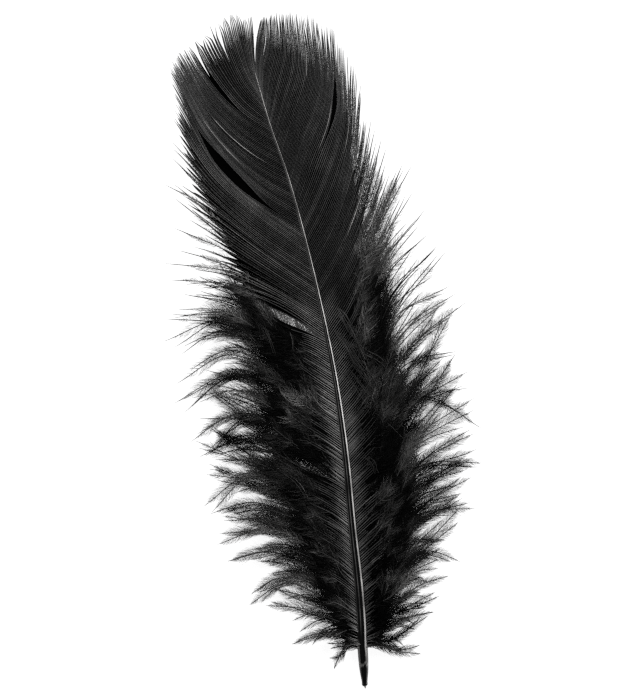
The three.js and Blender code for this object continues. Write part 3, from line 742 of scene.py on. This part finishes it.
def web(soup, barbs, pick, drop, dip, fade, rim, finish):
    """The barbules that hold a barb to the next, as one surface with a line along each barb, a drop
    below it, and one half-way between, which dips. Past the share that is webbed the surface parts:
    each side of it draws back to its own barb, over the share `fade` down to a flange of at most the
    part `rim` of its width, and from there evenly to nothing at the tip, so that a slit opens and
    the barbs end as separate spikes. Along an open split it parts from the start of the split."""
    curves = barbs["curves"].copy()
    curves[..., 2] = np.maximum(curves[..., 2] - drop, TABLE_CLEARANCE)
    roots = barbs["roots"]
    whole = barbs["reach"][:, None]
    common = np.minimum(whole[:-1], whole[1:])
    rows = np.arange(len(common))[:, None]
    lower = points_along(curves, rows, EVEN * common / whole[:-1])
    upper = points_along(curves, rows + 1, EVEN * common / whole[1:])
    webbed = barbs["web"] * barbs["reach"]
    reach = np.minimum(np.minimum(webbed[:-1], webbed[1:]) / common[:, 0], 0.96)
    tones = np.full(lower.shape[:2], 0.6)
    for split_root, start, end, _, _, is_open in barbs["splits"]:
        beside = (roots[:-1] < split_root) & (roots[1:] >= split_root)
        if is_open:
            reach = np.where(beside, start, reach)
            continue
        # Beside a groove the web is painted black and kept further out: a dark sheet as painted shade
        # in the groove.
        tones[beside] = 0
        if end < 1:
            reach = np.where(beside, np.maximum(reach, end + 0.2), reach)
    reach = reach[:, None]
    across = (upper - lower) / 2
    width = np.linalg.norm(across[..., :2], axis=2)
    flange = np.minimum(read_rows(FLANGE, roots[:-1])[:, None] / np.maximum(width, 1e-6), rim)
    held = 1 - (1 - flange) * np.clip((EVEN - reach) / fade, 0, 1)
    held = held * np.clip((1 - EVEN) / np.maximum(1 - reach - fade, 0.02), 0, 1)
    part = across * held[..., None]
    sink = np.array([0.0, 0.0, dip]) * held[..., None]
    shown = (held[:, :-1] > 0.02) & pick[:-1, None] & ~barbs["lone"][1:, None]
    tones = np.repeat(tones[:, None], 2, axis=1).ravel()
    for inner, outer, turned in (
        (lower, lower + part - sink, False),
        (upper, upper - part - sink, True),
    ):
        lines = np.stack([inner, outer], axis=1)
        numbers = np.arange(lines.shape[0] * 2 * STEPS).reshape(-1, 2, STEPS)
        a = numbers[:, 0, :-1][shown]
        b = numbers[:, 1, :-1][shown]
        c = numbers[:, 1, 1:][shown]
        d = numbers[:, 0, 1:][shown]
        order = [a, b, c, a, c, d] if (barbs["side"] == "left") != turned else [a, c, b, a, d, c]
        soup.add(lines, np.stack(order, axis=1).reshape(-1, 3), tones, finish)


def wedge_hairs(soup, barbs, pick):
    """Fine hairs that still bridge an open split of the down: narrow ribbons from the barb below it
    to the barb above, each a little further out at its upper end."""
    roots = barbs["roots"]
    for split_root, start, end, _, _, is_open in barbs["splits"]:
        below = int(np.searchsorted(roots[: (~barbs["lone"]).sum()], split_root)) - 1
        if not is_open or split_root > DEEP_DOWN or not pick[below]:
            continue
        share = random.uniform(start, end + 0.3, WEDGE_HAIRS)
        away = share + random.uniform(0.02, 0.07, WEDGE_HAIRS)
        low = points_along(barbs["curves"], below, share)
        high = points_along(barbs["curves"], below + 1, away)
        edge = level_normal(high - low)
        edge *= (HAIR_WIDTH / 2 / np.linalg.norm(edge, axis=1))[:, None]
        points = np.stack([low - edge, low + edge, high - edge, high + edge], axis=1)
        numbers = np.arange(WEDGE_HAIRS)[:, None] * 4
        triangles = np.concatenate([numbers + [0, 1, 3], numbers + [0, 3, 2]])
        soup.add(points, triangles, 0.8, BARBULE)


def barbules(soup, barbs, pick, pitch, widths, closed_keep):
    """Barbules on both sides of the barbs: a narrow bent ribbon of three triangles each, which
    leaves the barb at a wide angle and turns towards its tip. Where the barbs are closed they are
    short, and only a share of them is made, because the web stands for the rest. They are widest
    and closest where the down is deep, and thin out to the barb's tip."""
    picked = np.flatnonzero(pick)
    curves = barbs["curves"]
    upright = np.array([0.0, 0.0, 1.0])
    for hand in (-1, 1):
        per_barb = np.maximum((barbs["length"][picked] / pitch).astype(int), 1)
        which = np.repeat(picked, per_barb)
        first = np.repeat(np.cumsum(per_barb) - per_barb, per_barb)
        number = np.arange(len(which)) - first
        share = (number + random.random(len(which))) / np.repeat(per_barb, per_barb)
        free = ease(-0.04, 0.1, share - barbs["closed"][which])
        roots = barbs["roots"][which]
        to_tip = (1 - share) * barbs["length"][which]
        bare = read_rows(BARE_TIP, roots) * random.uniform(0.6, 1.4, len(barbs["roots"]))[which]
        grown = ease(-0.3, 1.0, (to_tip - bare) / 4.0)
        past = (share - barbs["closed"][which]) / np.maximum(1 - barbs["closed"][which], 0.1)
        chance = closed_keep + (1 - closed_keep) * free
        chance = chance * np.interp(past, [0.0, 0.3, 0.5], [0.5, 0.65, 0.9])
        step = np.minimum((share * (STEPS - 1)).astype(int), STEPS - 1)
        stay, light = local_factors(curves[which, step, :2])
        chance = chance * np.where(share < barbs["sparse"][which], 0.3, 1.0) * stay
        made = (random.random(len(which)) < chance) & (grown > 0.12)
        which, share, free, roots, grown, past, light = (
            a[made] for a in (which, share, free, roots, grown, past, light)
        )

        total = len(which)
        step = np.minimum((share * (STEPS - 1)).astype(int), STEPS - 2)
        along = unit(curves[which, step + 1] - curves[which, step])
        base = points_along(curves, which, share)
        base[:, 2] -= 0.08 * (1 - free)
        across = unit(level_normal(along) * hand)

        free_length = read_rows(FREE_BARBULE[barbs["side"]], roots) * grown
        free_length = free_length * random.uniform(0.65, 1.25, total)
        size = VANE_BARBULE * random.uniform(0.85, 1.1, total) * (1 - free) + free_length * free
        open_angle = np.radians(random.normal(38, 5, total) * free + 42 * (1 - free))
        bent_angle = np.radians(random.normal(20, 6, total) * free + 34 * (1 - free))
        loose = barbs["loose"][which]
        tilt = np.radians(random.normal(0, 14, total)) * free * (0.3 + 0.7 * loose)
        level = np.cos(tilt)[:, None]
        rise = np.sin(tilt)[:, None]

        def heading(angle):
            turn = np.cos(angle)[:, None] * along + np.sin(angle)[:, None] * across
            return turn * level + upright * rise

        middle = base + heading(open_angle) * (size * 0.45)[:, None]
        tip = middle + heading(bent_angle) * (size * 0.6)[:, None]
        flat = unit(np.cross(upright, heading(bent_angle)))
        roll = np.radians(random.normal(0, 35, total))[:, None]
        edge = flat * np.cos(roll) + upright * np.sin(roll)
        width = np.interp(past, [0.1, 0.7], widths) * random.uniform(0.8, 1.2, total)
        half = edge * (width / 2)[:, None]
        points = [base - half, base + half, middle - half * 0.8, middle + half * 0.8, tip]
        points = np.stack(points, axis=1)
        numbers = np.arange(total)[:, None] * 5
        triangles = np.concatenate([numbers + [0, 1, 3], numbers + [0, 3, 2], numbers + [2, 3, 4]])
        travelled = share * barbs["length"][which]
        tones = 0.22 + barbs["tone"][which] ** 2 * (0.6 + 1.9 * random.random(total) ** 2)
        # Within 5 to 12 mm of the shaft the barbules are painted darker, painted shade in the thick
        # down there; a place's painted light and shade then scale them.
        tones = tones * (0.45 + 0.55 * ease(5.0, 12.0, travelled)) * light
        soup.add(points, triangles, np.repeat(tones, 5), BARBULE)


# ---- materials


def new_material(name):
    material = bpy.data.materials.new(name)
    material.use_nodes = True
    return material, material.node_tree.nodes, material.node_tree.links


def keratin(name, low, high, matt, glossy, specular):
    """Black dyed keratin: with the tone attribute (the barb's own tone, with painted highlights,
    sheen and shade added in places) times a noise in the plan, the colour goes from low to high
    and the roughness from matt to glossy."""
    material, nodes, links = new_material(name)
    shader = nodes["Principled BSDF"]
    shader.inputs["Specular IOR Level"].default_value = specular
    place = nodes.new("ShaderNodeTexCoord")
    tone = nodes.new("ShaderNodeAttribute")
    tone.attribute_name = "tone"
    patches = nodes.new("ShaderNodeTexNoise")
    patches.inputs["Scale"].default_value = 220
    patches.inputs["Detail"].default_value = 4
    links.new(place.outputs["Object"], patches.inputs["Vector"])
    together = nodes.new("ShaderNodeMath")
    together.operation = "MULTIPLY"
    links.new(tone.outputs["Fac"], together.inputs[0])
    links.new(patches.outputs["Fac"], together.inputs[1])
    colour = nodes.new("ShaderNodeValToRGB")
    stops = colour.color_ramp.elements
    stops[0].position, stops[1].position = 0.1, 0.6
    stops[0].color, stops[1].color = (*low, 1), (*high, 1)
    stops.new(1.0).color = (*[2.5 * value for value in high], 1)
    links.new(together.outputs[0], colour.inputs["Fac"])
    links.new(colour.outputs["Color"], shader.inputs["Base Color"])
    gloss = nodes.new("ShaderNodeMapRange")
    ends = {"From Min": 0.1, "From Max": 0.6, "To Min": matt, "To Max": glossy}
    for socket, value in ends.items():
        gloss.inputs[socket].default_value = value
    links.new(together.outputs[0], gloss.inputs["Value"])
    links.new(gloss.outputs["Result"], shader.inputs["Roughness"])
    return material


BARB, WEB, BARBULE, VANE_BARB, VANE_WEB = range(5)
FINISHES = [
    keratin("barb_black", (0.001,) * 3, (0.07, 0.069, 0.068), 0.7, 0.25, 0.22),
    keratin("web_black", (0.0004,) * 3, (0.0012,) * 3, 0.8, 0.6, 0.0),
    keratin("barbule_black", (0.0003,) * 3, (0.03, 0.0296, 0.0292), 0.6, 0.5, 0.02),
    keratin("vane_black", (0.002,) * 3, (0.06, 0.059, 0.058), 0.5, 0.3, 0.15),
    keratin("vane_web_black", (0.0003,) * 3, (0.007, 0.0068, 0.0066), 0.7, 0.6, 0.0),
]
SHAFT_BLACK = keratin("shaft_black", (0.001,) * 3, (0.07, 0.0685, 0.067), 0.3, 0.3, 0.2)


# ---- the feather's pieces


# Half of the shaft's width is 1. Its top has two faint grooves left of the middle and a narrow
# face that leans to the right, and its underside is round.
SHAFT_OUTLINE = [
    (-1.0, 0.1), (-0.86, 0.44), (-0.66, 0.56), (-0.56, 0.5), (-0.42, 0.6), (-0.2, 0.62), (-0.1, 0.56),
    (0.06, 0.66), (0.36, 0.73), (0.42, 0.71), (0.45, 0.693), (0.73, 0.535), (0.76, 0.5), (1.0, 0.1),
    (0.94, -0.34), (0.7, -0.66), (0.36, -0.84), (0.0, -0.9), (-0.36, -0.84), (-0.7, -0.66),
    (-0.94, -0.34),
]


def make_shaft():
    heights = np.concatenate([np.linspace(0.02, 1.2, 24), np.linspace(1.3, SHAFT[-1, 1], 220)])
    stations = shaft_at(heights)
    points, triangles = sweep(stations[None, :, :3], stations[None, :, 3] / 2, SHAFT_OUTLINE)
    # The quill is horn: pale at its broken end, with a pale ring and a dark plug below it. Painted
    # highlights: a pale line along both edges of the quill, a light strip on the narrow face that
    # leans to the right, and two faint lines along the grooves.
    across = np.array([point[0] for point in SHAFT_OUTLINE])[None, :]
    up = heights[:, None]
    # Painted highlight along both edges of the quill.
    edge = ease(0.5, 0.8, np.abs(across)) * ease(9.5, 7.0, up)
    ring = np.exp(-(((up - 4.4 - 0.3 * np.sin(5 * across)) / 0.16) ** 2))
    end = ease(0.62, 0.5, up)
    # Painted highlight on the narrow face that leans to the right.
    face = ((across > 0.44) & (across < 0.74)) * ease(4, 9, up)
    # Painted faint highlight lines along the grooves.
    lines = ((np.abs(across + 0.2) < 0.02) | (np.abs(across + 0.86) < 0.02)) * ease(8, 14, up)
    tones = 0.1 + 0.9 * edge + 1.1 * ring + 1.6 * end + 1.5 * face + 0.5 * lines
    soup = Soup()
    soup.add(points, triangles, tones.ravel())
    soup.piece("shaft", [SHAFT_BLACK])


def make_side(side, guides, singles, splits, strands, loose):
    barbs = side_barbs(side, guides, singles, splits, strands)
    vane = barbs["roots"] >= VANE_ROOT
    lower = barbs["roots"] < LOWER_ROOT

    soup = Soup()
    barb_tubes(soup, barbs, vane, [0.085, 0.085, 0.09, 0.08, 0.02], VANE_BARB)
    web(soup, barbs, vane, drop=0.16, dip=0.05, fade=0.14, rim=0.8, finish=VANE_WEB)
    barbules(soup, barbs, vane, pitch=0.09, widths=[0.075, 0.05], closed_keep=0.02)
    soup.piece("vane_" + side, FINISHES)

    for name, pick in (("upper", ~vane & ~lower), ("lower", lower)):
        soup = Soup()
        barb_tubes(soup, barbs, pick, [0.1, 0.1, 0.095, 0.08, 0.02], BARB)
        web(soup, barbs, pick, drop=0.3, dip=0.1, fade=0.12, rim=0.0, finish=WEB)
        barbules(soup, barbs, pick, pitch=0.07, widths=[0.08, 0.036], closed_keep=0.04)
        wedge_hairs(soup, barbs, pick)
        if name == "upper":
            strays(soup, loose, *STRAY_COPIES[side])
        soup.piece("down_" + side + "_" + name, FINISHES)


make_shaft()
make_side("left", LEFT, LEFT_BARBS, LEFT_SPLITS, LEFT_STRANDS, LEFT_STRAYS)
make_side("right", RIGHT, RIGHT_BARBS, RIGHT_SPLITS, RIGHT_STRANDS, RIGHT_STRAYS)


# ---- floor, light and camera


def make_floor():
    half = 0.8
    mesh = bpy.data.meshes.new("floor")
    corners = [(-half, -half, 0), (half, -half, 0), (half, half, 0), (-half, half, 0)]
    mesh.from_pydata(corners, [], [(0, 1, 2, 3)])
    floor = add_object("floor", mesh)
    material, nodes, _ = new_material("floor_white")
    shader = nodes["Principled BSDF"]
    shader.inputs["Base Color"].default_value = (0.08, 0.08, 0.08, 1)
    shader.inputs["Roughness"].default_value = 1.0
    shader.inputs["Specular IOR Level"].default_value = 0.0
    shader.inputs["Emission Color"].default_value = (1, 1, 1, 1)
    shader.inputs["Emission Strength"].default_value = 0.94
    mesh.materials.append(material)


def area_light(name, place, aim, size, power):
    data = bpy.data.lights.new(name, "AREA")
    data.shape = "RECTANGLE"
    data.size, data.size_y = size
    data.energy = power
    light = add_object(name, data)
    light.location = place
    towards = Vector(aim) - Vector(place)
    light.rotation_euler = towards.to_track_quat("-Z", "Y").to_euler()


def make_light():
    world = bpy.data.worlds.new("studio")
    bpy.context.scene.world = world
    world.use_nodes = True
    background = world.node_tree.nodes["Background"]
    background.inputs["Color"].default_value = (1, 1, 1, 1)
    background.inputs["Strength"].default_value = 0.05
    area_light("top", (0.0, 0.32, 0.28), (0, 0, 0), (0.7, 0.14), 8.4)
    area_light("right", (0.36, 0.0, 0.22), (0, 0, 0), (0.07, 0.34), 3.6)


VIEW_HEIGHT = 0.12245  # what the view's long side takes in, in metres
VIEW_LEVEL = 0.003  # height above the floor where it does
VIEW_CENTRE = (0.00057, 0.0)
TURN = math.radians(10.0)  # the feather leans to the left in the view


def make_camera():
    data = bpy.data.cameras.new("camera")
    data.lens = 100
    data.sensor_width = 36
    data.clip_start = 0.01
    distance = VIEW_HEIGHT * data.lens / data.sensor_width
    camera = add_object("camera", data)
    camera.location = (*VIEW_CENTRE, distance + VIEW_LEVEL)
    camera.rotation_euler = (0, 0, -TURN)
    bpy.context.scene.camera = camera


make_floor()
make_light()
make_camera()
bpy.context.scene.view_settings.view_transform = "Standard"
bpy.context.scene.cycles.use_denoising = False
bpy.context.scene.cycles.filter_width = 1.4
